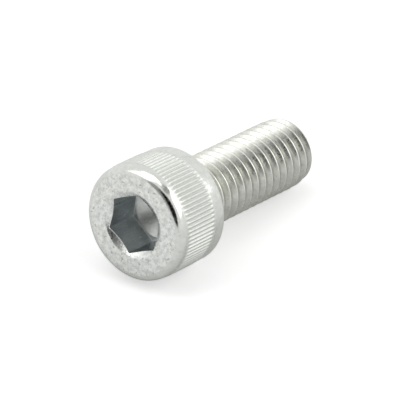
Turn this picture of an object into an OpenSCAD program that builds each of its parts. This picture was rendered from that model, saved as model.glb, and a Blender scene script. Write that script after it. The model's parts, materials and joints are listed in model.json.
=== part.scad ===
// Hex socket cap screw, M8 x 20, lying on its side as it comes to rest on a flat surface.
// The screw is drawn upright first, head down: Z runs from the top face of the head, at 0, to the tip.
// It is then laid along X, so that the edge under its head and its last thread crests touch Z = 0.

/* [Thread] */
// Diameter over the thread crests
thread_d = 7.9; // [7.7:0.05:8.3]
// Distance along the axis from one crest to the next
thread_pitch = 1.25; // [1:0.05:1.5]
// Width of the flat on each crest, as a share of the pitch
crest_share = 0.125; // [0.1:0.005:0.15]
// Width of the flat in each root, as a share of the pitch
root_share = 0.17; // [0.15:0.01:0.25]

/* [Shank] */
// Length from the underside of the head to the tip
shank_length = 20.4; // [16:0.1:30]
// Length along the axis of the 45 degree chamfer at the tip
tip_chamfer = 1.2; // [0.8:0.05:1.5]
// Diameter of the plain neck under the head
neck_d = 7.1; // [6.8:0.05:7.4]
// Length of the plain neck, from the underside of the head
neck_length = 0.7; // [0.65:0.05:2]
// Radius of the fillet between the neck and the underside of the head
neck_fillet = 0.5; // [0.45:0.05:0.6]
// Length over which the first thread rises out of the neck
run_out = 0.8; // [0.4:0.05:2]

/* [Head] */
// Diameter of the plain parts of the head
head_d = 12.9; // [12.6:0.05:14]
// Height of the head
head_height = 7.65; // [7.4:0.05:9]
// Radius of the rounded rim around the top face
rim_radius = 1.05; // [0.4:0.05:1.3]
// Radius of the rounded edge around the underside
under_radius = 0.25; // [0.15:0.05:0.6]

/* [Knurl] */
// Height of the ridges over the plain parts of the head
knurl_proud = 0.07; // [0.02:0.01:0.2]
// Number of ridges around the head
knurl_count = 84; // [60:2:100]
// Depth of the grooves between the ridges
knurl_depth = 0.18; // [0.1:0.01:0.3]
// Height of the plain band between the ridges and the underside
plain_band = 1.6; // [1:0.05:3]

/* [Socket] */
// Distance across the flats of the hexagon
socket_af = 6.02; // [5.9:0.05:6.3]
// Depth of the hexagon below the top face
socket_depth = 4.3; // [3.5:0.05:4.6]
// How much wider the countersunk mouth is than the hexagon across its corners
mouth_margin = 0.54; // [0.2:0.05:1]
// Included angle of the countersink and of the drilled point in the floor
drill_angle = 120; // [110:1:130]
// How much narrower the drilled point is than the hexagon across its flats
drill_margin = 0.25; // [0.05:0.05:1]
// Turn of the hexagon about the screw's own axis, from a corner pointing up
socket_turn = 5; // [0:1:59]

/* [Hidden] */
steel = [0.76, 0.76, 0.75];
// Steps around one turn of the thread, and steps in a quarter of a rounded edge
turn_steps = 48;
edge_steps = 8;
flank_angle = 30;
cut_over = 0.5;
// Widths of a ridge at its top and at its foot, as shares of the ridges' spacing
ridge_top = 0.32;
ridge_foot = 0.8;
// How far the ridges' plain core and the threaded rod's start lie inside what covers them
core_inset = 0.3;
rod_inset = 0.03;

head_r = head_d / 2;
neck_r = neck_d / 2;
knurl_r = head_r + knurl_proud;
groove_r = knurl_r - knurl_depth;
// The plain core that the ridges stand on lies inside their grooves
knurl_core_r = groove_r - core_inset;
knurl_end = head_height - plain_band;
neck_end = head_height + neck_length;
tip_z = head_height + shank_length;

socket_r = socket_af / 2 / cos(180 / 6);
mouth_r = socket_r + mouth_margin / 2;
drill_r = (socket_af - drill_margin) / 2;
point_slope = 1 / tan(drill_angle / 2);

thread_r = thread_d / 2;
flank_share = (1 - crest_share - root_share) / 2;
thread_depth = flank_share * thread_pitch / tan(flank_angle);
root_r = thread_r - thread_depth;
// The threaded rod starts halfway along the neck, inside it, and rises to its thread just past the neck's end
rod_start_r = neck_r - rod_inset;
rod_start_z = neck_end - neck_length / 2;
rise_z = neck_end + rod_inset;
tip_r = thread_r - tip_chamfer;

// Corners of one thread section: place along the pitch from the middle of the crest, and radius
thread_section = [
    [-crest_share / 2, thread_r],
    [crest_share / 2, thread_r],
    [crest_share / 2 + flank_share, root_r],
    [crest_share / 2 + flank_share + root_share, root_r]
];
section_corners = len(thread_section);
thread_turns = ceil((tip_z - rise_z) / thread_pitch) + 2;
thread_rows = section_corners * (thread_turns + 1);

function arc(centre, radius, from, to) = [
    for (i = [0 : edge_steps])
        let (a = from + (to - from) * i / edge_steps)
        centre + radius * [cos(a), sin(a)]
];

// Outline of the head as [radius, height], without its ridges and socket
rim_arc = arc([head_r - rim_radius, rim_radius], rim_radius, -90, 0);
under_arc = arc([head_r - under_radius, head_height - under_radius], under_radius, 0, 90);
fillet_arc = arc([neck_r + neck_fillet, head_height + neck_fillet], neck_fillet, -90, -180);
head_outline = concat(
    [[0, 0]],
    rim_arc,
    [[knurl_core_r, rim_radius], [knurl_core_r, knurl_end], [head_r, knurl_end]],
    under_arc,
    fillet_arc,
    [[neck_r, neck_end], [0, neck_end]]
);

// Largest and smallest radius that the neck's run-out and the tip's chamfer leave at a height
function crest_limit(z) = min(
    rod_start_r + (z - rise_z) * (thread_r - rod_start_r) / run_out,
    tip_r + (tip_z - z)
);
function root_limit(z) = rod_start_r - (z - rise_z) * (rod_start_r - root_r) / run_out;
function thread_radius(r, z) =
    let (h = max(z, rise_z))
    min(crest_limit(h), max(r, root_limit(h)));

// A point of the thread's surface: its row climbs one pitch in a full turn, and stops at both ends.
// The rows of the first turn are the rod's plain start inside the neck.
function thread_height(row, step) =
    let (corner = thread_section[row % section_corners])
    let (turn = floor(row / section_corners) - thread_turns + step / turn_steps)
    row <= section_corners
        ? rod_start_z
        : min(tip_z, max(rise_z, tip_z + thread_pitch * (turn + corner[0])));
function thread_point(row, step) =
    let (corner = thread_section[row % section_corners])
    let (z = thread_height(row, step))
    let (r = thread_radius(corner[1], z))
    let (a = 360 * step / turn_steps)
    [r * cos(a), r * sin(a), z];

// The rows join up after one turn, where each meets the row that lies one thread section further on
function thread_index(row, step) =
    step < turn_steps
        ? row * turn_steps + step
        : min(row + section_corners, thread_rows) * turn_steps;

// The screw tips until its shank's lowest crest meets the surface that the head's edge lies on
contact_step = turn_steps / 2;
shank_points = [
    for (row = [0 : thread_rows])
        let (p = thread_point(row, contact_step))
        [norm([p.x, p.y]), p.z]
];
rest_tilt = atan(min([
    for (s = shank_points)
        max([for (h = under_arc) (h.x - s.x) / (s.y - h.y)])
]));
rest_height = max([for (h = under_arc) h.y * sin(rest_tilt) + h.x * cos(rest_tilt)]);
near_end_x = min([for (p = rim_arc) p.y * cos(rest_tilt) - p.x * sin(rest_tilt)]);
far_end_x = tip_z * cos(rest_tilt) + tip_r * sin(rest_tilt);

module head_body() {
    rotate_extrude($fn = 128)
        polygon(head_outline);
}

// Straight ridges around the head, between its rounded rim and its plain band
module knurl() {
    ridge = [
        [-ridge_top / 2, knurl_r],
        [ridge_top / 2, knurl_r],
        [ridge_foot / 2, groove_r],
        [1 - ridge_foot / 2, groove_r]
    ];
    translate([0, 0, rim_radius])
        linear_extrude(height = knurl_end - rim_radius)
            polygon([
                for (i = [0 : knurl_count - 1], p = ridge)
                    let (a = 360 * (i + p[0]) / knurl_count)
                    p[1] * [cos(a), sin(a)]
            ]);
}

// The hexagon, its countersunk mouth and the drilled point in its floor
module socket() {
    mouth_depth = mouth_r * point_slope + cut_over;
    translate([0, 0, -cut_over])
        rotate(socket_turn)
            cylinder(r = socket_r, h = socket_depth + cut_over, $fn = 6);
    translate([0, 0, -cut_over])
        cylinder(r1 = mouth_depth / point_slope, r2 = 0, h = mouth_depth, $fn = 96);
    translate([0, 0, socket_depth])
        cylinder(r1 = drill_r, r2 = 0, h = drill_r * point_slope, $fn = 96);
}

// The thread is one surface over a lattice of rows that follow the helix, closed by a flat at each end
module threaded_rod() {
    points = [
        for (row = [0 : thread_rows], step = [0 : turn_steps - 1])
            thread_point(row, step)
    ];
    sides = [
        for (row = [0 : thread_rows - 1], step = [0 : turn_steps - 1])
            let (a = thread_index(row, step))
            let (b = thread_index(row, step + 1))
            let (c = thread_index(row + 1, step + 1))
            let (d = thread_index(row + 1, step))
            each [[a, c, b], [a, d, c]]
    ];
    start_face = [for (step = [0 : turn_steps - 1]) thread_index(0, step)];
    tip_face = [for (step = [turn_steps - 1 : -1 : 0]) thread_index(thread_rows, step)];
    polyhedron(points, concat(sides, [start_face, tip_face]), convexity = 20);
}

module cap_screw() {
    color(steel)
        translate([-(near_end_x + far_end_x) / 2, 0, rest_height])
            rotate([0, 90 + rest_tilt, 0])
                rotate(180) {
                    difference() {
                        union() {
                            head_body();
                            knurl();
                        }
                        socket();
                    }
                    threaded_rod();
                }
}

cap_screw();
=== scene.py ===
"""Hex socket cap screw, M8 x 20, lying on its side: the visible screw and its studio."""

import json
import math

import bmesh
import bpy
from bpy.props import FloatProperty, FloatVectorProperty, IntProperty, PointerProperty
from mathutils import Matrix, Vector


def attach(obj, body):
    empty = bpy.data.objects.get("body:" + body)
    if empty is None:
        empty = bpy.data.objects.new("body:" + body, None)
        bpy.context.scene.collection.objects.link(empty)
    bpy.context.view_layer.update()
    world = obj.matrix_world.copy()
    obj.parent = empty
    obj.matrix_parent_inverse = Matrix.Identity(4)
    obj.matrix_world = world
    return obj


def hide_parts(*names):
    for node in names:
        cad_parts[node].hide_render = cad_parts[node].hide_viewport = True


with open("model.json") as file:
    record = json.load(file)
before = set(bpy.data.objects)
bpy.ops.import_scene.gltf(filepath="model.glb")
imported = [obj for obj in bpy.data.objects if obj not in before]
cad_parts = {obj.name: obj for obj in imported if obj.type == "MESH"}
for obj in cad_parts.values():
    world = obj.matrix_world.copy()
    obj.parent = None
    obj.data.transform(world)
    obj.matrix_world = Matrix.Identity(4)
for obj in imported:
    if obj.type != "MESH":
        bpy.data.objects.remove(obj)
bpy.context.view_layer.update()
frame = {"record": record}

bl_info = {
    "name": "Hex Socket Cap Screw",
    "version": (1, 0, 0),
    "blender": (4, 5, 0),
    "location": "3D View > Sidebar > Cap Screw",
    "description": "Builds a cold-formed stainless hex socket cap screw, and a small studio around it",
    "category": "Object",
}

MM = 0.001
FULL_TURN = 2 * math.pi
# Vertices closer together than this are one vertex
WELD = 0.0005 * MM
# How far off a height or radius a vertex may lie and still count as lying at it
TOLERANCE = 0.01 * MM


def linear(code):
    """Turn an sRGB hex colour into the linear colour that Blender's nodes use."""
    parts = [int(code[i:i + 2], 16) / 255 for i in (1, 3, 5)]
    return [c / 12.92 if c <= 0.04045 else ((c + 0.055) / 1.055) ** 2.4 for c in parts]


def size(name, default, description):
    """A length property, given here in millimetres and kept in metres."""
    return FloatProperty(
        name=name, description=description, default=default * MM, min=0, precision=5, unit="LENGTH",
    )


def colour(name, code, description):
    """A colour property, given here as an sRGB hex value."""
    return FloatVectorProperty(
        name=name, description=description, default=linear(code), size=3, min=0, max=1, subtype="COLOR",
    )


class CapScrewSizes(bpy.types.PropertyGroup):
    """Sizes of the screw, the same as in its CAD source"""

    head_r: size("Head radius", 6.45, "Radius of the plain parts of the head")
    head_height: size("Head height", 7.65, "From the top face to the bearing face")
    rim_r: size("Rim radius", 1.05, "Rounded rim around the top face")
    under_r: size("Under-edge radius", 0.25, "Rounded edge around the bearing face")
    knurl_proud: size("Knurl height", 0.07, "How far the ridges stand over the plain parts of the head")
    knurl_depth: size("Knurl depth", 0.18, "From a ridge's top to the bottom of the groove beside it")
    knurl_count: IntProperty(name="Ridges", description="Ridges around the head", default=84, min=12)
    plain_band: size("Plain band", 1.6, "Height of the smooth band between the ridges and the bearing face")
    socket_af: size("Across flats", 6.02, "Size of the hexagon")
    socket_depth: size("Socket depth", 4.3, "Depth of the hexagon below the top face")
    mouth_margin: size("Mouth margin", 0.54, "How much wider the mouth is than the hexagon's corners")
    drill_margin: size("Drill margin", 0.25, "How much narrower the drilled point is than the flats")
    socket_turn: FloatProperty(
        name="Socket turn", description="Turn of the hexagon from a corner pointing up",
        default=math.radians(5), unit="ROTATION",
    )
    neck_r: size("Neck radius", 3.55, "Radius of the plain neck")
    neck_length: size("Neck length", 0.7, "From the bearing face to the thread's start")
    neck_fillet: size("Neck fillet", 0.5, "Fillet between the neck and the bearing face")
    rod_inset: size("Rod inset", 0.03, "How far the thread's start lies below the neck's surface")
    run_out: size("Run-out", 0.8, "Length over which the first thread rises out of the neck")
    thread_r: size("Thread radius", 3.95, "Radius over the crests")
    pitch: size("Pitch", 1.25, "From one crest to the next")
    crest_flat: size("Crest flat", 0.15625, "Width of the flat on a crest")
    root_flat: size("Root flat", 0.2125, "Width of the flat in a root")
    shank_length: size("Shank length", 20.4, "From the bearing face to the tip")
    tip_chamfer: size("Tip chamfer", 1.2, "Length of the 45 degree chamfer at the tip")


class CapScrewFinish(bpy.types.PropertyGroup):
    """Colours of the steel's finishes, and of the shade painted into the knurl's grooves and the thread's
    roots
    """

    face: colour("Pressed face", "#eaece8", "The top face, pressed flat by the heading die")
    face_worn: colour("Pressed face, pits", "#adafac", "The scale and pits left in the top face")
    side: colour("Rolled side", "#dadcd7", "The ridges and the smooth parts of the head")
    side_worn: colour("Rolled side, patches", "#cacdc7", "Slightly duller patches of the side")
    # Painted shade: the knurl's grooves are drawn in this darker colour
    side_groove_painted_shade: colour("Knurl grooves", "#c9cbc6", "The grooves between the ridges")
    socket: colour("Punched socket", "#bcc1c3", "The walls that the punch leaves")
    socket_worn: colour("Punched socket, scores", "#9ba1a6", "Darker streaks where the punch slid")
    thread: colour("Rolled thread", "#dadbd4", "The thread's crests and the neck")
    thread_worn: colour("Rolled thread, patches", "#c2c3bc", "Slightly duller patches of the thread")
    # Painted shade: the thread's roots are drawn in this darker colour
    thread_root_painted_shade: colour("Thread roots", "#908f88", "The roots between the crests")


class CapScrewStudio(bpy.types.PropertyGroup):
    """Camera, floor and light"""

    camera_place: FloatVectorProperty(
        name="Camera", description="Where the camera stands", size=3,
        default=(-0.32934, -0.25244, 0.2569), subtype="TRANSLATION", unit="LENGTH",
    )
    camera_forward: FloatVectorProperty(
        name="View direction", description="Where the camera looks", size=3,
        default=(0.67603, 0.52146, -0.52064), subtype="DIRECTION",
    )
    lens: FloatProperty(
        name="Lens", description="Focal length in millimetres on a 36 mm sensor", default=405, min=1,
    )
    floor: colour("Floor", "#dfdfdf", "The pale floor")
    floor_size: size("Floor size", 6000, "Length of each side of the floor")
    ambient: FloatProperty(
        name="Room light", description="Strength of the light from all sides", default=0.55, min=0,
    )
    softbox: FloatProperty(
        name="Softbox", description="Brightness of the lamps' faces, where 1 is white", default=1.22, min=0,
    )


# Mesh tools

def radius(co):
    """Distance from the screw's axis."""
    return math.hypot(co.x, co.y)


def turned(co, r, z):
    """The point at radius r and height z on the same side of the axis as co."""
    scale = r / radius(co)
    return Vector((co.x * scale, co.y * scale, z))


def all_of(bm):
    """Everything in a bmesh, as its operators take it."""
    return bm.verts[:] + bm.edges[:] + bm.faces[:]


def chain(bm, points):
    """A few vertices joined into one open row of edges."""
    verts = [bm.verts.new(point) for point in points]
    return [bm.edges.new(pair) for pair in zip(verts, verts[1:])]


def extrude_row(bm, edges, place):
    """Extrude a row of edges, put each new vertex where place() says, and return the new row."""
    made = bmesh.ops.extrude_edge_only(bm, edges=edges)["geom"]
    verts = {item for item in made if isinstance(item, bmesh.types.BMVert)}
    for vert in verts:
        vert.co = place(vert.co)
    return [item for item in made if isinstance(item, bmesh.types.BMEdge) and verts.issuperset(item.verts)]


def open_edges(bm, z, low=0, high=math.inf):
    """The open edges that lie at height z, between two radii."""
    def lies_there(vert):
        return abs(vert.co.z - z) < TOLERANCE and low < radius(vert.co) < high

    return [edge for edge in bm.edges if edge.is_boundary and all(lies_there(v) for v in edge.verts)]


def spin(bm, geom, angle, steps, climb=0, **options):
    """Spin around the screw's axis, and move up by climb with each step."""
    bmesh.ops.spin(
        bm, geom=geom, cent=(0, 0, 0), axis=(0, 0, 1), dvec=(0, 0, climb), angle=angle, steps=steps,
        **options,
    )


def weld(bm):
    """Make one vertex of those that lie at the same place."""
    bmesh.ops.remove_doubles(bm, verts=bm.verts[:], dist=WELD)


def rounded(corners, cut, steps):
    """The 2-D line through corners, with each inner one rounded from cut before it to cut after it."""
    line = [corners[0]]
    for before, here, after in zip(corners, corners[1:], corners[2:]):
        start = here + (before - here).normalized() * cut
        end = here + (after - here).normalized() * cut
        for i in range(steps + 1):
            t = i / steps
            line.append(start * (1 - t) ** 2 + here * 2 * t * (1 - t) + end * t ** 2)
    return line + [corners[-1]]


# The threaded rod

# Steps around one turn of the thread, the socket and the neck
TURN_STEPS = 96
FLANK_ANGLE = math.radians(30)
# How far the rounding of a crest or root reaches along the flats beside each corner, and its steps
THREAD_ROUNDING = 0.075 * MM
ROUNDING_STEPS = 4
# Length before the tip over which the dies leave the crests lower, and how much lower the last one is
LOW_LENGTH = 3.2 * MM
LOW_DROP = 0.35 * MM
# Past the tip, where the chamfer's cone would close, the rod keeps this radius until it is cut off
CORE_R = 0.1 * MM
# Rows of the tip's end, slightly dished by the rolling: share of its radius, and depth in mm
DISH = ((0.96, 0), (0.88, 0.04), (0.55, 0.10), (0.25, 0.13))


def build_thread(bm, s):
    """Sweep one pitch of the rounded thread section along its helix, and cut it off at both ends."""
    tip_z = s.head_height + s.shank_length
    tip_r = s.thread_r - s.tip_chamfer
    rise_z = s.head_height + s.neck_length + s.rod_inset
    start_r = s.neck_r - s.rod_inset
    flank = (s.pitch - s.crest_flat - s.root_flat) / 2
    root_r = s.thread_r - flank / math.tan(FLANK_ANGLE)

    half = s.pitch / 2
    crest = s.crest_flat / 2
    foot = crest + flank
    section = [
        Vector((-half, root_r)), Vector((-foot, root_r)), Vector((-crest, s.thread_r)),
        Vector((crest, s.thread_r)), Vector((foot, root_r)), Vector((half, root_r)),
    ]
    # On the side that points up, the crests lie whole pitches before the tip, as in the CAD source
    back = math.ceil((tip_z - rise_z) / s.pitch) + 1
    first_z = tip_z - back * s.pitch
    outline = rounded(section, THREAD_ROUNDING, ROUNDING_STEPS)
    row = chain(bm, [(p.y, 0, first_z + p.x) for p in outline])
    spin(bm, row + bm.verts[:], FULL_TURN, TURN_STEPS, climb=s.pitch / TURN_STEPS)
    # The first turn is repeated for each other one, a pitch further on
    spin(bm, all_of(bm), 0, back, climb=s.pitch, use_duplicate=True)
    weld(bm)

    for vert in bm.verts:
        z = max(vert.co.z, rise_z)
        rise = (z - rise_z) / s.run_out
        drop = LOW_DROP * max(0, 1 - (tip_z - z) / LOW_LENGTH) ** 2
        crest_limit = min(start_r + rise * (s.thread_r - start_r), tip_r + tip_z - z, s.thread_r - drop)
        root_limit = start_r - rise * (start_r - root_r)
        r = min(crest_limit, max(radius(vert.co), root_limit))
        vert.co = turned(vert.co, max(r, CORE_R), vert.co.z)

    up = (0, 0, 1)
    bmesh.ops.bisect_plane(bm, geom=all_of(bm), plane_co=(0, 0, rise_z), plane_no=up, clear_inner=True)
    bmesh.ops.bisect_plane(bm, geom=all_of(bm), plane_co=(0, 0, tip_z), plane_no=up, clear_outer=True)

    row = open_edges(bm, tip_z)
    for share, depth in DISH:
        row = extrude_row(bm, row, lambda co: turned(co, tip_r * share, tip_z - depth * MM))
    bmesh.ops.edgeloop_fill(bm, edges=row)


# The head

# Height of a ridge over its groove, as a share of the knurl's depth, in equal steps from ridge to groove
RIDGE = (1.0, 0.97, 0.80, 0.38, 0.06, 0.0)
# Where the ridges start, as a share of the rim's radius
KNURL_START = 0.95
# How far the ridges have risen, from 0 to 1, at distances in mm from where they start and where they end
FADE_IN = ((0.25, 0.08), (0.40, 0.3), (0.55, 0.65), (0.70, 0.9), (0.85, 1.0))
FADE_OUT = ((0.75, 1.0), (0.6, 0.92), (0.45, 0.68), (0.3, 0.35), (0.15, 0.1), (0.0, 0.0))
# How far into the plain band the row lies that keeps its shading even
BAND_ROW = 0.25 * MM
# Widths of the narrow rows that keep the flats' shading even, beside the rounded edges, mouth and fillet
EDGE_ROW = 0.2 * MM
MOUTH_ROW = 0.18 * MM
FILLET_ROW = 0.15 * MM
RIM_STEPS = 12
UNDER_STEPS = 6
FILLET_STEPS = 8
# The countersink and the drilled point are both cones of 120 degrees
CONE_SLOPE = math.tan(math.radians(30))
# Rows of the drilled point, as shares of its radius
POINT_ROWS = (0.8, 0.55, 0.3, 0.12)
# How far the edges in the socket, and those around its mouth and its drilled point, are broken
SOCKET_BREAK = 0.07 * MM
MOUTH_BREAK = 0.05 * MM


def hexagon_r(s, co):
    """Distance from the axis to the socket's wall in the direction of co."""
    sixth = FULL_TURN / 6
    across = (math.atan2(co.y, co.x) - s.socket_turn) % sixth - sixth / 2
    return s.socket_af / 2 / math.cos(across)


def side_levels(s):
    """Radius and height of each row down the side of the head, and how far the ridges have risen there."""
    knurl_start = s.rim_r * KNURL_START
    knurl_end = s.head_height - s.plain_band
    levels = []
    for i in range(1, RIM_STEPS + 1):
        a = math.pi / 2 * i / RIM_STEPS
        levels.append((s.head_r - s.rim_r + s.rim_r * math.sin(a), s.rim_r * (1 - math.cos(a)), 0))
    levels += [(s.head_r, knurl_start + past * MM, rise) for past, rise in FADE_IN]
    levels += [(s.head_r, knurl_end - before * MM, rise) for before, rise in FADE_OUT]
    levels.append((s.head_r, knurl_end + BAND_ROW, 0))
    levels.append((s.head_r, s.head_height - s.under_r, 0))
    for i in range(1, UNDER_STEPS + 1):
        a = math.pi / 2 * i / UNDER_STEPS
        r = s.head_r - s.under_r + s.under_r * math.cos(a)
        levels.append((r, s.head_height - s.under_r + s.under_r * math.sin(a), 0))
    levels.append((s.head_r - s.under_r - EDGE_ROW, s.head_height, 0))
    return levels


def build_side(bm, s):
    """One ridge of the knurl with the rim above it and the band below, repeated around the head."""
    cell = FULL_TURN / s.knurl_count
    last = len(RIDGE) - 1

    def ridge(co):
        """How far the knurl stands out over the plain side, in the direction of co."""
        step = round(abs(math.atan2(co.y, co.x)) / (cell / 2) * last)
        return s.knurl_proud - s.knurl_depth * (1 - RIDGE[step])

    face_r = s.head_r - s.rim_r
    angles = [cell / 2 * i / last for i in range(-last, last + 1)]
    row = chain(bm, [Vector((math.cos(a), math.sin(a), 0)) * (face_r - EDGE_ROW) for a in angles])
    row = extrude_row(bm, row, lambda co: turned(co, face_r, 0))
    for r, z, rise in side_levels(s):
        row = extrude_row(bm, row, lambda co: turned(co, r + rise * ridge(co), z))
    copies = s.knurl_count - 1
    spin(bm, all_of(bm), cell * copies, copies, use_duplicate=True)
    weld(bm)


def build_socket(bm, s):
    """The countersunk mouth, the hexagon and the drilled point, row by row, with their edges broken."""
    corner_r = s.socket_af / 2 / math.cos(FULL_TURN / 12)
    mouth_r = corner_r + s.mouth_margin / 2
    drill_r = (s.socket_af - s.drill_margin) / 2
    depth = s.socket_depth

    def cone_edge(co):
        """Where the countersink meets the hexagon's wall, in the direction of co."""
        wall = hexagon_r(s, co)
        return turned(co, wall, (mouth_r - wall) * CONE_SLOPE)

    bmesh.ops.create_circle(
        bm, cap_ends=False, radius=mouth_r, segments=TURN_STEPS,
        matrix=Matrix.Rotation(s.socket_turn + FULL_TURN / 4, 4, "Z"),
    )
    # The circle's edges are the only ones that have no face yet
    mouth = [edge for edge in bm.edges if edge.is_wire]
    edge_row = extrude_row(bm, mouth, cone_edge)
    floor_row = extrude_row(bm, edge_row, lambda co: turned(co, hexagon_r(s, co), depth))
    drill_row = extrude_row(bm, floor_row, lambda co: turned(co, drill_r, depth))
    row = drill_row
    for share in POINT_ROWS:
        row = extrude_row(bm, row, lambda co: turned(
            co, drill_r * share, depth + drill_r * (1 - share) * CONE_SLOPE))
    bmesh.ops.edgeloop_fill(bm, edges=row)

    # The flat face from the rim to the mouth
    face_row = open_edges(bm, 0, low=mouth_r + MOUTH_ROW)
    inner = extrude_row(bm, mouth, lambda co: turned(co, mouth_r + MOUTH_ROW, 0))
    bmesh.ops.bridge_loops(bm, edges=face_row + inner)

    # The hexagon's upright corners
    corners = [
        edge for edge in bm.edges
        if all(abs(radius(v.co) - corner_r) < TOLERANCE and v.co.z < depth + TOLERANCE for v in edge.verts)
        and abs(edge.verts[0].co.z - edge.verts[1].co.z) > depth / 2
    ]
    tool = dict(
        offset_type="OFFSET", affect="EDGES", segments=3, profile=0.5, material=-1, clamp_overlap=True,
    )
    bmesh.ops.bevel(bm, geom=corners + edge_row + floor_row, offset=SOCKET_BREAK, **tool)
    rims = [edge for edge in mouth + drill_row if edge.is_valid]
    bmesh.ops.bevel(bm, geom=rims, offset=MOUTH_BREAK, **tool)


def build_underside(bm, s):
    """The bearing face, the fillet and the neck, joined to the head's edge and to the thread."""
    rise_z = s.head_height + s.neck_length + s.rod_inset
    # The neck's last row, a little before the thread starts below its surface
    neck_z = rise_z - 2 * s.rod_inset
    centre = Vector((s.neck_r + s.neck_fillet, s.head_height + s.neck_fillet))
    points = [(centre.x + FILLET_ROW, 0, s.head_height)]
    for i in range(FILLET_STEPS + 1):
        a = math.pi / 2 * i / FILLET_STEPS
        points.append((centre.x - s.neck_fillet * math.sin(a), 0, centre.y - s.neck_fillet * math.cos(a)))
    points.append((s.neck_r, 0, neck_z))
    row = chain(bm, points)
    verts = list(dict.fromkeys(vert for edge in row for vert in edge.verts))
    spin(bm, row + verts, FULL_TURN, TURN_STEPS, use_merge=True)
    weld(bm)

    # The bearing face and the step down to the thread close the gaps
    middle_r = (centre.x + s.head_r) / 2
    outer = open_edges(bm, s.head_height, low=middle_r)
    inner = open_edges(bm, s.head_height, high=middle_r)
    bmesh.ops.bridge_loops(bm, edges=outer + inner)
    bmesh.ops.bridge_loops(bm, edges=open_edges(bm, neck_z) + open_edges(bm, rise_z))


# Materials

def add_node(tree, kind, settings=None, links=None):
    """Add one node, set its properties and sockets, and link its inputs."""
    node = tree.nodes.new(kind)
    for name, value in (settings or {}).items():
        if isinstance(name, int) or name in node.inputs:
            node.inputs[name].default_value = value
        else:
            setattr(node, name, value)
    for name, source in (links or {}).items():
        tree.links.new(source, node.inputs[name])
    return node


def new_material(name):
    """A material with no nodes yet, and its node tree."""
    material = bpy.data.materials.new(name)
    material.use_nodes = True
    material.node_tree.nodes.clear()
    return material, material.node_tree


# Where the screw lies: the middle of its mouth, and the turn that lays its upright mesh along its axis
MOUNTS = {mount["name"]: Vector(mount["pos_m"]) for mount in frame["record"]["mounts"]}
MOUTH = MOUNTS["hex_socket"]
AXIS = (MOUNTS["thread"] - MOUTH).normalized()
UPWARD = (Vector((0, 0, 1)) - AXIS * AXIS.z).normalized()
LYING = Matrix((UPWARD, AXIS.cross(UPWARD), AXIS)).transposed()


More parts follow.
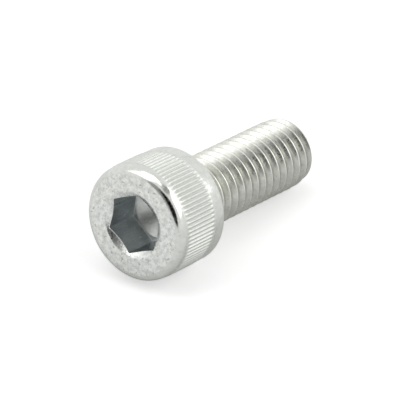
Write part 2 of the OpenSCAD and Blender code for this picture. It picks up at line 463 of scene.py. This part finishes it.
def steel(name, light, dark, spots, marks, rough, bumps, recess_painted_shade=None, depths=(0, 0), stretch=(1, 1, 1)):
    """Bare stainless steel: metal that mirrors the room, softened by the tool's fine texture.

    spots is the size of the colour patches in mm, marks the size of the surface's own texture in mm, rough
    the smoothest and roughest finish, and bumps the height of the texture in mm. depths are the radii in mm
    between which the darker colour painted into the grooves and roots as shade gives way to the bright
    crests. stretch draws the texture out along the screw's own axes, so that punched marks run with the
    tool.

    The real grain is a few hundredths of a millimetre wide, finer than the render can show. So patches, pits
    and texture are drawn several times coarser than it.
    """
    material, tree = new_material(name)
    coords = add_node(tree, "ShaderNodeTexCoord")
    # The pattern is turned with the screw, so that its Z runs along the lying axis
    turn = add_node(tree, "ShaderNodeMapping", {
        "vector_type": "TEXTURE", "Location": MOUTH, "Rotation": LYING.to_euler(),
    }, {"Vector": coords.outputs["Object"]})
    drawn = add_node(tree, "ShaderNodeMapping", {
        "vector_type": "TEXTURE", "Scale": stretch,
    }, {"Vector": turn.outputs["Vector"]})
    patches = add_node(tree, "ShaderNodeTexNoise", {
        "Scale": 1 / (spots * MM), "Detail": 4.0, "Roughness": 0.7,
    }, {"Vector": drawn.outputs["Vector"]})
    # Pits are a little smaller than patches
    specks = add_node(tree, "ShaderNodeTexNoise", {
        "Scale": 1 / (0.7 * spots * MM), "Detail": 1.0, "Roughness": 0.5, "Distortion": 0.6,
    }, {"Vector": drawn.outputs["Vector"]})
    texture = add_node(tree, "ShaderNodeTexNoise", {
        "Scale": 1 / (marks * MM), "Detail": 2.0, "Roughness": 0.55,
    }, {"Vector": drawn.outputs["Vector"]})

    # Cloudy patches reach only halfway to the dark colour, and pits all the way
    cloudy = add_node(tree, "ShaderNodeMapRange", {
        "From Min": 0.40, "From Max": 0.62, "To Min": 0.0, "To Max": 0.55,
    }, {"Value": patches.outputs["Fac"]})
    pitted = add_node(tree, "ShaderNodeMapRange", {
        "From Min": 0.65, "From Max": 0.75, "To Min": 0.0, "To Max": 1.0,
    }, {"Value": specks.outputs["Fac"]})
    shade = add_node(tree, "ShaderNodeMath", {"operation": "ADD", "use_clamp": True}, {
        0: cloudy.outputs["Result"], 1: pitted.outputs["Result"],
    })
    base = add_node(tree, "ShaderNodeMix", {"data_type": "RGBA", 6: (*light, 1), 7: (*dark, 1)}, {
        0: shade.outputs[0],
    })
    # Painted shade: the grooves and roots, nearer the axis than the depths, take a darker colour
    if recess_painted_shade:
        across = add_node(tree, "ShaderNodeVectorMath", {"operation": "MULTIPLY", 1: (1, 1, 0)}, {
            0: turn.outputs["Vector"],
        })
        from_axis = add_node(tree, "ShaderNodeVectorMath", {"operation": "LENGTH"}, {0: across.outputs[0]})
        recess_shade_mask = add_node(tree, "ShaderNodeMapRange", {
            "From Min": depths[0] * MM, "From Max": depths[1] * MM, "To Min": 1.0, "To Max": 0.0,
            "interpolation_type": "SMOOTHSTEP",
        }, {"Value": from_axis.outputs["Value"]})
        base = add_node(tree, "ShaderNodeMix", {"data_type": "RGBA", 7: (*recess_painted_shade, 1)}, {
            0: recess_shade_mask.outputs["Result"], 6: base.outputs[2],
        })

    # Noise lies mostly between 0.3 and 0.7, and spreads here over the whole range of the finish
    grain = add_node(tree, "ShaderNodeMapRange", {
        "From Min": 0.3, "From Max": 0.7, "To Min": rough[0], "To Max": rough[1],
    }, {"Value": texture.outputs["Fac"]})
    bump = add_node(tree, "ShaderNodeBump", {"Strength": 1.0, "Distance": bumps * MM}, {
        "Height": texture.outputs["Fac"],
    })
    shader = add_node(tree, "ShaderNodeBsdfPrincipled", {"Metallic": 1.0}, {
        "Base Color": base.outputs[2],
        "Roughness": grain.outputs["Result"],
        "Normal": bump.outputs["Normal"],
    })
    add_node(tree, "ShaderNodeOutputMaterial", None, {"Surface": shader.outputs["BSDF"]})
    return material


def finishes(colours):
    """The finishes of the steel, in the order of the screw's material slots."""
    # Pressed by the die: flat and dull, with small pits that scatter the light into a mottled grey
    pressed = steel(
        "a2_stainless_pressed", colours.face, colours.face_worn, spots=0.55, marks=0.18,
        rough=(0.22, 0.36), bumps=0.016,
    )
    # Drawn over by the die at the rim and the band: almost a mirror, with dark and white crescents
    burnished = steel(
        "a2_stainless_burnished", colours.side, colours.side_worn, spots=0.6, marks=0.25,
        rough=(0.12, 0.22), bumps=0.003,
    )
    # Rolled knurl: each ridge draws a light line and a softer dark one beside it, with shade painted into
    # the grooves
    knurled = steel(
        "a2_stainless_knurled", colours.side, colours.side_worn, spots=0.5, marks=0.2,
        rough=(0.38, 0.50), bumps=0.004, recess_painted_shade=colours.side_groove_painted_shade, depths=(6.33, 6.47),
    )
    # Punched walls: darker, with fine scores that run down them
    punched = steel(
        "a2_stainless_punched", colours.socket, colours.socket_worn, spots=0.8, marks=0.2,
        rough=(0.26, 0.40), bumps=0.008, stretch=(1, 1, 5),
    )
    # Floor of the socket, where the punch's point bottoms: dull and evenly light
    bottomed = steel(
        "a2_stainless_bottomed", colours.face, colours.side_worn, spots=0.9, marks=0.3,
        rough=(0.38, 0.50), bumps=0.006,
    )
    # Rolled thread: light on the crests, with shade painted into the roots, slightly warm
    rolled = steel(
        "a2_stainless_rolled", colours.thread, colours.thread_worn, spots=0.6, marks=0.2,
        rough=(0.25, 0.39), bumps=0.007, recess_painted_shade=colours.thread_root_painted_shade, depths=(3.19, 3.6),
    )
    return pressed, burnished, knurled, punched, bottomed, rolled


PRESSED, BURNISHED, KNURLED, PUNCHED, BOTTOMED, ROLLED = range(6)
# How far past an edge a face's middle has to lie to take the finish there
EDGE_MARGIN = 0.05 * MM
# How far below the crests the chamfer's plain end and the dish lie, which is deeper than the roots
TIP_MARGIN = 0.8 * MM
# How far a face looks along the axis, from 0 to 1: more than the first on the tip's end, less than the
# second on the socket's walls
END_FACING = 0.9
WALL_FACING = 0.3
# Edges that turn by more than this stay sharp
SHARP = math.radians(55)


def finish_of(face, s):
    """The finish of a face, from where its middle lies on the upright screw."""
    middle = face.calc_center_median()
    r = radius(middle)
    facing_end = abs(face.normal.z)
    if middle.z > s.head_height - 2 * TOLERANCE:
        if middle.z < s.head_height + s.neck_length or r > s.thread_r - TIP_MARGIN:
            return ROLLED
        return PRESSED if facing_end > END_FACING else BURNISHED
    if r < s.socket_af / math.sqrt(3) + s.mouth_margin / 2:
        if middle.z > s.socket_depth - EDGE_MARGIN:
            return BOTTOMED
        return PUNCHED if facing_end < WALL_FACING else PRESSED
    if middle.z < EDGE_MARGIN:
        return PRESSED
    knurl_end = s.head_height - s.plain_band
    return KNURLED if s.rim_r + EDGE_MARGIN < middle.z < knurl_end else BURNISHED


class OBJECT_OT_build_cap_screw(bpy.types.Operator):
    """Build the visible screw over its CAD solid"""

    bl_idname = "object.build_cap_screw"
    bl_label = "Cap Screw"

    def execute(self, context):
        s = context.scene.cap_screw_sizes
        mesh = bpy.data.meshes.new("socket_cap_screw")
        # The rod is made apart from the head, because its cuts go through all of a bmesh
        rod = bmesh.new()
        build_thread(rod, s)
        rod.to_mesh(mesh)
        rod.free()
        bm = bmesh.new()
        build_side(bm, s)
        bm.from_mesh(mesh)
        build_socket(bm, s)
        build_underside(bm, s)
        weld(bm)
        bmesh.ops.recalc_face_normals(bm, faces=bm.faces[:])
        open_count = sum(not edge.is_manifold for edge in bm.edges)
        if open_count:
            raise RuntimeError(f"the screw has {open_count} open edges")

        for face in bm.faces:
            face.smooth = True
            face.material_index = finish_of(face, s)
        for edge in bm.edges:
            edge.smooth = edge.calc_face_angle() < SHARP
        bmesh.ops.transform(bm, matrix=Matrix.Translation(MOUTH) @ LYING.to_4x4(), verts=bm.verts[:])
        bm.to_mesh(mesh)
        bm.free()
        for material in finishes(context.scene.cap_screw_finish):
            mesh.materials.append(material)

        screw = bpy.data.objects.new("socket_cap_screw", mesh)
        context.scene.collection.objects.link(screw)
        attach(screw, "root")
        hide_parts("cap_screw")
        return {"FINISHED"}


# The studio

# How much brighter than its card the floor looks to the camera
FLOOR_LIFT = 0.5
# The same in the metal, close to the screw and far from it, and the distances between which it changes. The
# lower lift close to the screw is painted shade, and lets the floor's real shadow show in the metal
MIRRORED_LIFT_WITH_PAINTED_SHADE = (0.06, 0.27)
PAINTED_SHADE_REACH = (11 * MM, 28 * MM)
# Cards behind the camera and above it, the dark side of the room that the rim mirrors: name, colour, azimuth
# and elevation in degrees, and distance, width and height in metres
CARDS = (
    ("cloth", "#0c0c0c", -160, 21, 1.0, 0.90, 0.80),
    ("grey_card", "#a4a4a4", -170, 18, 1.05, 1.35, 1.05),
    ("grey_strip", "#a4a4a4", -95, 68, 0.95, 1.15, 0.30),
)
# Lamps, placed in the same way
LAMPS = (
    ("softbox_right", -66, 37, 1.0, 1.25, 0.68),
    ("softbox_back", 142, 47, 1.0, 0.5, 0.68),
    ("softbox_top", 130, 80, 1.0, 0.6, 0.6),
)


def facing(azimuth, elevation, distance):
    """A place around the screw, in degrees and metres, with local minus Z turned to face the screw."""
    a, e = math.radians(azimuth), math.radians(elevation)
    place = Vector((math.cos(e) * math.cos(a), math.cos(e) * math.sin(a), math.sin(e))) * distance
    return Matrix.Translation(place) @ place.to_track_quat("Z", "Y").to_matrix().to_4x4()


def stage_piece(scene, name, bm, material):
    """A piece of the studio, made from a bmesh that is freed."""
    mesh = bpy.data.meshes.new(name)
    bm.to_mesh(mesh)
    bm.free()
    mesh.materials.append(material)
    piece = bpy.data.objects.new(name, mesh)
    scene.collection.objects.link(piece)
    return piece


def place_camera(scene, studio):
    """A camera at the photograph's viewing angle."""
    data = bpy.data.cameras.new("camera")
    data.sensor_width = 36
    data.lens = studio.lens
    data.clip_start = 0.01
    camera = bpy.data.objects.new("camera", data)
    forward = Vector(studio.camera_forward).normalized()
    right = forward.cross(Vector((0, 0, 1))).normalized()
    turn = Matrix((right, right.cross(forward), -forward)).transposed()
    camera.matrix_world = Matrix.Translation(studio.camera_place) @ turn.to_4x4()
    scene.collection.objects.link(camera)
    scene.camera = camera


def lay_floor(scene, studio):
    """A floor of matt white card: it takes the screw's shadow, and is white to the camera."""
    material, tree = new_material("white_card")
    path = add_node(tree, "ShaderNodeLightPath")
    in_metal = add_node(tree, "ShaderNodeMath", {"operation": "ADD"}, {
        0: path.outputs["Is Glossy Ray"], 1: path.outputs["Is Transmission Ray"],
    })
    # In the metal the floor is darker close to the screw, so the undersides end in a soft grey: partly the
    # floor's real shadow, which the lower lift there lets through, and partly painted shade from the lift
    # that falls off towards the screw
    coords = add_node(tree, "ShaderNodeTexCoord")
    away = add_node(tree, "ShaderNodeVectorMath", {"operation": "LENGTH"}, {0: coords.outputs["Object"]})
    glow_with_painted_shade = add_node(tree, "ShaderNodeMapRange", {
        "From Min": PAINTED_SHADE_REACH[0], "From Max": PAINTED_SHADE_REACH[1],
        "To Min": MIRRORED_LIFT_WITH_PAINTED_SHADE[0], "To Max": MIRRORED_LIFT_WITH_PAINTED_SHADE[1], "interpolation_type": "SMOOTHSTEP",
    }, {"Value": away.outputs["Value"]})
    mirrored = add_node(tree, "ShaderNodeMath", {"operation": "MULTIPLY"}, {
        0: in_metal.outputs[0], 1: glow_with_painted_shade.outputs["Result"],
    })
    lift = add_node(tree, "ShaderNodeMath", {"operation": "MULTIPLY_ADD", 1: FLOOR_LIFT}, {
        0: path.outputs["Is Camera Ray"], 2: mirrored.outputs[0],
    })
    shader = add_node(tree, "ShaderNodeBsdfPrincipled", {
        "Base Color": (*studio.floor, 1), "Roughness": 0.9, "Specular IOR Level": 0.0,
        "Emission Color": (1, 1, 1, 1),
    }, {"Emission Strength": lift.outputs[0]})
    add_node(tree, "ShaderNodeOutputMaterial", None, {"Surface": shader.outputs["BSDF"]})
    bm = bmesh.new()
    bmesh.ops.create_grid(bm, x_segments=1, y_segments=1, size=studio.floor_size / 2)
    return stage_piece(scene, "floor", bm, material)


def hang_card(scene, name, code, azimuth, elevation, distance, wide, high):
    """An oval card of one even colour, which only the metal sees."""
    material, tree = new_material(name)
    shader = add_node(tree, "ShaderNodeEmission", {"Color": (*linear(code), 1), "Strength": 1.0})
    add_node(tree, "ShaderNodeOutputMaterial", None, {"Surface": shader.outputs[0]})
    bm = bmesh.new()
    bmesh.ops.create_circle(bm, cap_ends=True, segments=32, radius=0.5)
    bmesh.ops.scale(bm, vec=(wide, high, 1), verts=bm.verts[:])
    bmesh.ops.transform(bm, matrix=facing(azimuth, elevation, distance), verts=bm.verts[:])
    card = stage_piece(scene, name, bm, material)
    card.visible_camera = False
    card.visible_transmission = False
    return card


def hang_lamp(scene, name, azimuth, elevation, distance, wide, high, brightness):
    """A softbox that faces the screw."""
    data = bpy.data.lights.new(name, "AREA")
    data.shape = "RECTANGLE"
    data.size, data.size_y = wide, high
    # The power that gives the lamp's face this brightness
    data.energy = brightness * math.pi * wide * high
    lamp = bpy.data.objects.new(name, data)
    lamp.matrix_world = facing(azimuth, elevation, distance)
    scene.collection.objects.link(lamp)


def paint_room(scene, ambient):
    """A room that is white to the camera and in the metal, and dimmer as a light."""
    world = bpy.data.worlds.new("room")
    scene.world = world
    world.use_nodes = True
    tree = world.node_tree
    tree.nodes.clear()
    path = add_node(tree, "ShaderNodeLightPath")
    seen = add_node(tree, "ShaderNodeMath", {"operation": "ADD"}, {
        0: path.outputs["Is Camera Ray"], 1: path.outputs["Is Glossy Ray"],
    })
    seen = add_node(tree, "ShaderNodeMath", {"operation": "ADD", "use_clamp": True}, {
        0: seen.outputs[0], 1: path.outputs["Is Transmission Ray"],
    })
    room = add_node(tree, "ShaderNodeBackground", {"Color": (1, 1, 1, 1), "Strength": ambient})
    white = add_node(tree, "ShaderNodeBackground", {"Color": (1, 1, 1, 1), "Strength": 1.0})
    mix = add_node(tree, "ShaderNodeMixShader", None, {
        0: seen.outputs[0], 1: room.outputs[0], 2: white.outputs[0],
    })
    add_node(tree, "ShaderNodeOutputWorld", None, {"Surface": mix.outputs[0]})


class SCENE_OT_build_screw_studio(bpy.types.Operator):
    """Build the camera, the white floor, the room and the lamps"""

    bl_idname = "scene.build_screw_studio"
    bl_label = "Studio"

    def execute(self, context):
        scene = context.scene
        studio = scene.cap_screw_studio
        scene.view_settings.view_transform = "Standard"
        place_camera(scene, studio)
        floor = lay_floor(scene, studio)
        cards = [hang_card(scene, *card) for card in CARDS]
        for lamp in LAMPS:
            hang_lamp(scene, *lamp, studio.softbox)
        paint_room(scene, studio.ambient)
        return {"FINISHED"}


class VIEW3D_PT_cap_screw(bpy.types.Panel):
    """The operators, each with the sizes and colours it uses, in the 3D view's sidebar"""

    bl_idname = "VIEW3D_PT_cap_screw"
    bl_label = "Cap Screw"
    bl_space_type = "VIEW_3D"
    bl_region_type = "UI"
    bl_category = "Cap Screw"

    def draw(self, context):
        scene = context.scene
        for operator, groups in (
            (OBJECT_OT_build_cap_screw, (scene.cap_screw_sizes, scene.cap_screw_finish)),
            (SCENE_OT_build_screw_studio, (scene.cap_screw_studio,)),
        ):
            self.layout.operator(operator.bl_idname)
            for group in groups:
                for name in group.__annotations__:
                    self.layout.prop(group, name)


CLASSES = (
    CapScrewSizes, CapScrewFinish, CapScrewStudio,
    OBJECT_OT_build_cap_screw, SCENE_OT_build_screw_studio, VIEW3D_PT_cap_screw,
)


def register():
    for cls in CLASSES:
        bpy.utils.register_class(cls)
    bpy.types.Scene.cap_screw_sizes = PointerProperty(type=CapScrewSizes)
    bpy.types.Scene.cap_screw_finish = PointerProperty(type=CapScrewFinish)
    bpy.types.Scene.cap_screw_studio = PointerProperty(type=CapScrewStudio)


def unregister():
    del bpy.types.Scene.cap_screw_sizes
    del bpy.types.Scene.cap_screw_finish
    del bpy.types.Scene.cap_screw_studio
    for cls in reversed(CLASSES):
        bpy.utils.unregister_class(cls)


def main():
    register()
    bpy.ops.object.build_cap_screw()
    bpy.ops.scene.build_screw_studio()


if __name__ == "__main__":
    main()
